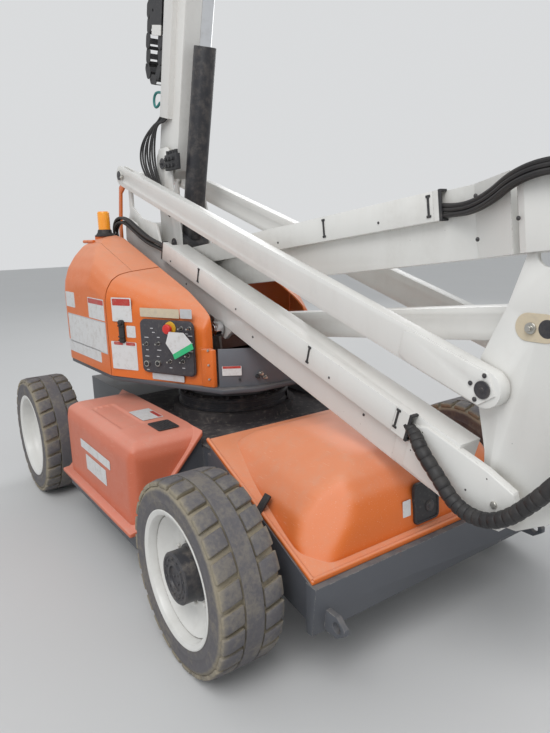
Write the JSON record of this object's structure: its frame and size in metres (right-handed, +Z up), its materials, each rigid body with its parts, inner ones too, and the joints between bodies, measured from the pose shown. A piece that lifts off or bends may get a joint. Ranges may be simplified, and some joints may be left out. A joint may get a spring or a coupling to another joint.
{
  "type": "articulating boom lift",
  "caption": "Wheeled lift: turntable, folding parallel tower, telescopic main boom, jib and railed work platform.",
  "frame": {"origin": "on the ground, under the turning centre of the turntable", "axes": "+X towards the charger end of the chassis, +Y to its left, +Z up"},
  "size_m": [4.4532, 1.75, 6.5678],
  "materials": {
    "tyre": "dusty",
    "white_paint": "satin",
    "grey_paint": "satin",
    "dark_paint": "satin",
    "steel": "worn",
    "chrome": "polished",
    "orange_shell": "gloss",
    "faded_shell": "weathered",
    "black_plastic": "matte",
    "amber": "clear",
    "rail_paint": "gloss"
  },
  "bodies": {
    "chassis": {"chassis_frame": "grey_paint", "deck_plate": "dark_paint", "drive_axle": "steel", "steer_axle": "dark_paint", "battery_cover_right": "faded_shell", "battery_cover_left": "faded_shell", "front_hood": "orange_shell"},
    "wheel_front_right": {"tyre_front_right": "tyre", "rim_front_right": "white_paint"},
    "wheel_front_left": {"tyre_front_left": "tyre", "rim_front_left": "white_paint"},
    "wheel_rear_right": {"tyre_rear_right": "tyre", "rim_rear_right": "white_paint"},
    "wheel_rear_left": {"tyre_rear_left": "tyre", "rim_rear_left": "white_paint"},
    "steer_right": {"steer_knuckle_right": "steel"},
    "steer_left": {"steer_knuckle_left": "steel"},
    "tie_rod": {"tie_rod": "steel"},
    "turntable": {"turntable_base": "grey_paint", "turntable_risers": "orange_shell", "front_sheet": "grey_paint", "counterweight": "grey_paint", "hood_front_right": "orange_shell", "hood_front_left": "orange_shell", "control_panel": "black_plastic", "beacon": "amber"},
    "hood_right": {"hood_door_right": "orange_shell"},
    "hood_left": {"hood_door_left": "orange_shell"},
    "lower_boom": {"lower_boom": "white_paint"},
    "side_link_right": {"side_link_right": "white_paint"},
    "side_link_left": {"side_link_left": "white_paint"},
    "knuckle": {"knuckle": "white_paint"},
    "upper_boom": {"upper_boom": "white_paint"},
    "upper_link": {"upper_link": "white_paint"},
    "upright": {"upright": "white_paint"},
    "tower_barrel": {"tower_barrel": "dark_paint"},
    "tower_rod": {"tower_rod": "chrome"},
    "base_boom": {"base_boom": "white_paint", "power_track": "black_plastic"},
    "lift_barrel": {"lift_barrel": "dark_paint"},
    "lift_rod": {"lift_rod": "chrome"},
    "fly_boom": {"fly_boom": "white_paint"},
    "jib_mount": {"jib_mount": "white_paint"},
    "jib_boom": {"jib_boom": "white_paint"},
    "jib_link": {"jib_link": "white_paint"},
    "platform_bracket": {"platform_bracket": "white_paint"},
    "platform": {"platform_floor": "grey_paint", "platform_rails": "rail_paint", "platform_controls": "black_plastic"},
    "platform_gate": {"platform_gate": "rail_paint"}
  },
  "joints": [
    {"name": "wheel_front_right_spin", "type": "hinge", "parent": "chassis", "child": "wheel_front_right", "pos_m": [1, -0.755, 0.354], "axis": [0, 1, 0], "continuous": true},
    {"name": "wheel_front_left_spin", "type": "hinge", "parent": "chassis", "child": "wheel_front_left", "pos_m": [1, 0.755, 0.354], "axis": [0, 1, 0], "continuous": true},
    {"name": "steer_right_turn", "type": "hinge", "parent": "chassis", "child": "steer_right", "pos_m": [-1, -0.59, 0.354], "axis": [0, 0, 1], "range_deg": [-35, 35]},
    {"name": "steer_left_turn", "type": "hinge", "parent": "chassis", "child": "steer_left", "pos_m": [-1, 0.59, 0.354], "axis": [0, 0, 1], "range_deg": [-35, 35]},
    {"name": "tie_rod_turn", "type": "hinge", "parent": "steer_right", "child": "tie_rod", "pos_m": [-0.85, -0.59, 0.318], "axis": [0, 0, 1], "range_deg": [-35, 35]},
    {"name": "wheel_rear_right_spin", "type": "hinge", "parent": "steer_right", "child": "wheel_rear_right", "pos_m": [-1, -0.755, 0.354], "axis": [0, 1, 0], "continuous": true},
    {"name": "wheel_rear_left_spin", "type": "hinge", "parent": "steer_left", "child": "wheel_rear_left", "pos_m": [-1, 0.755, 0.354], "axis": [0, 1, 0], "continuous": true},
    {"name": "slew", "type": "hinge", "parent": "chassis", "child": "turntable", "pos_m": [0, 0, 0.72], "axis": [0, 0, 1], "range_deg": [-177.5, 177.5]},
    {"name": "hood_right_lift", "type": "hinge", "parent": "turntable", "child": "hood_right", "pos_m": [-0.9, -0.4315, 1.512], "axis": [-1, 0, 0], "range_deg": [0, 60]},
    {"name": "hood_left_lift", "type": "hinge", "parent": "turntable", "child": "hood_left", "pos_m": [-0.9, 0.4315, 1.512], "axis": [1, 0, 0], "range_deg": [0, 60]},
    {"name": "tower_lift", "type": "hinge", "parent": "turntable", "child": "lower_boom", "pos_m": [-0.81, 0, 1.556], "axis": [0, -1, 0], "range_deg": [0, 82]},
    {"name": "side_link_right_turn", "type": "hinge", "parent": "turntable", "child": "side_link_right", "pos_m": [-0.86, 0, 1.895], "axis": [0, -1, 0], "range_deg": [0, 82]},
    {"name": "side_link_left_turn", "type": "hinge", "parent": "turntable", "child": "side_link_left", "pos_m": [-0.86, 0, 1.895], "axis": [0, -1, 0], "range_deg": [0, 82]},
    {"name": "knuckle_turn", "type": "hinge", "parent": "lower_boom", "child": "knuckle", "pos_m": [1.815, 0, 0.746], "axis": [0, -1, 0], "range_deg": [-82, 0]},
    {"name": "upper_boom_turn", "type": "hinge", "parent": "knuckle", "child": "upper_boom", "pos_m": [2.02, 0, 1.6], "axis": [0, 1, 0], "range_deg": [0, 71.3]},
    {"name": "upper_link_turn", "type": "hinge", "parent": "knuckle", "child": "upper_link", "pos_m": [1.93, 0, 1.275], "axis": [0, 1, 0], "range_deg": [0, 71.3]},
    {"name": "upright_turn", "type": "hinge", "parent": "upper_boom", "child": "upright", "pos_m": [-0.415, 0, 1.331], "axis": [0, 1, 0], "range_deg": [-71.3, 0]},
    {"name": "tower_barrel_turn", "type": "hinge", "parent": "turntable", "child": "tower_barrel", "pos_m": [-0.75, 0, 1.02], "axis": [0, -1, 0], "range_deg": [0, 68]},
    {"name": "tower_rod_slide", "type": "slide", "parent": "tower_barrel", "child": "tower_rod", "axis": [0.9977, 0, 0.0678], "range_m": [0, 0.6579]},
    {"name": "main_boom_lift", "type": "hinge", "parent": "upright", "child": "base_boom", "pos_m": [-0.49, 0, 1.93], "axis": [0, -1, 0], "range_deg": [-75, 0]},
    {"name": "lift_barrel_turn", "type": "hinge", "parent": "upright", "child": "lift_barrel", "pos_m": [-0.4, 0, 1.49], "axis": [0, -1, 0], "range_deg": [-62, 0]},
    {"name": "lift_rod_slide", "type": "slide", "parent": "lift_barrel", "child": "lift_rod", "axis": [0.27, 0, 0.9629], "range_m": [-0.4434, 0]},
    {"name": "telescope", "type": "slide", "parent": "base_boom", "child": "fly_boom", "axis": [0.2588, 0, 0.9659], "range_m": [0, 2.2]},
    {"name": "jib_mount_turn", "type": "hinge", "parent": "fly_boom", "child": "jib_mount", "pos_m": [0.51422, 0, 5.67779], "axis": [0, -1, 0], "range_deg": [0, 75]},
    {"name": "jib_lift", "type": "hinge", "parent": "jib_mount", "child": "jib_boom", "pos_m": [0.70422, 0, 5.73779], "axis": [0, -1, 0], "range_deg": [-60, 84]},
    {"name": "jib_link_turn", "type": "hinge", "parent": "jib_mount", "child": "jib_link", "pos_m": [0.73722, 0, 5.58079], "axis": [0, -1, 0], "range_deg": [-60, 84]},
    {"name": "platform_bracket_turn", "type": "hinge", "parent": "jib_boom", "child": "platform_bracket", "pos_m": [1.94422, 0, 5.73779], "axis": [0, -1, 0], "range_deg": [-84, 60]},
    {"name": "platform_turn", "type": "hinge", "parent": "platform_bracket", "child": "platform", "pos_m": [2.20422, 0, 5.64779], "axis": [0, 0, 1], "range_deg": [-90, 90]},
    {"name": "gate_swing", "type": "hinge", "parent": "platform", "child": "platform_gate", "pos_m": [3.04622, -0.743, 5.9], "axis": [0, 0, -1], "range_deg": [0, 90]}
  ],
  "couplings": [
    {"joint": "steer_left_turn", "follows": "steer_right_turn", "ratio": 1},
    {"joint": "tie_rod_turn", "follows": "steer_right_turn", "ratio": -1},
    {"joint": "side_link_right_turn", "follows": "tower_lift", "ratio": 1},
    {"joint": "side_link_left_turn", "follows": "tower_lift", "ratio": 1},
    {"joint": "knuckle_turn", "follows": "tower_lift", "ratio": -1},
    {"joint": "upper_boom_turn", "follows": "tower_lift", "ratio": 0.86943},
    {"joint": "upper_link_turn", "follows": "tower_lift", "ratio": 0.86943},
    {"joint": "upright_turn", "follows": "tower_lift", "ratio": -0.86943},
    {"joint": "tower_barrel_turn", "follows": "tower_lift", "ratio": 0.828},
    {"joint": "tower_rod_slide", "follows": "tower_lift", "m_per_rad": 0.459},
    {"joint": "lift_barrel_turn", "follows": "main_boom_lift", "ratio": 0.825},
    {"joint": "lift_rod_slide", "follows": "main_boom_lift", "m_per_rad": 0.338},
    {"joint": "jib_mount_turn", "follows": "main_boom_lift", "ratio": -1},
    {"joint": "jib_link_turn", "follows": "jib_lift", "ratio": 1},
    {"joint": "platform_bracket_turn", "follows": "jib_lift", "ratio": -1}
  ]
}
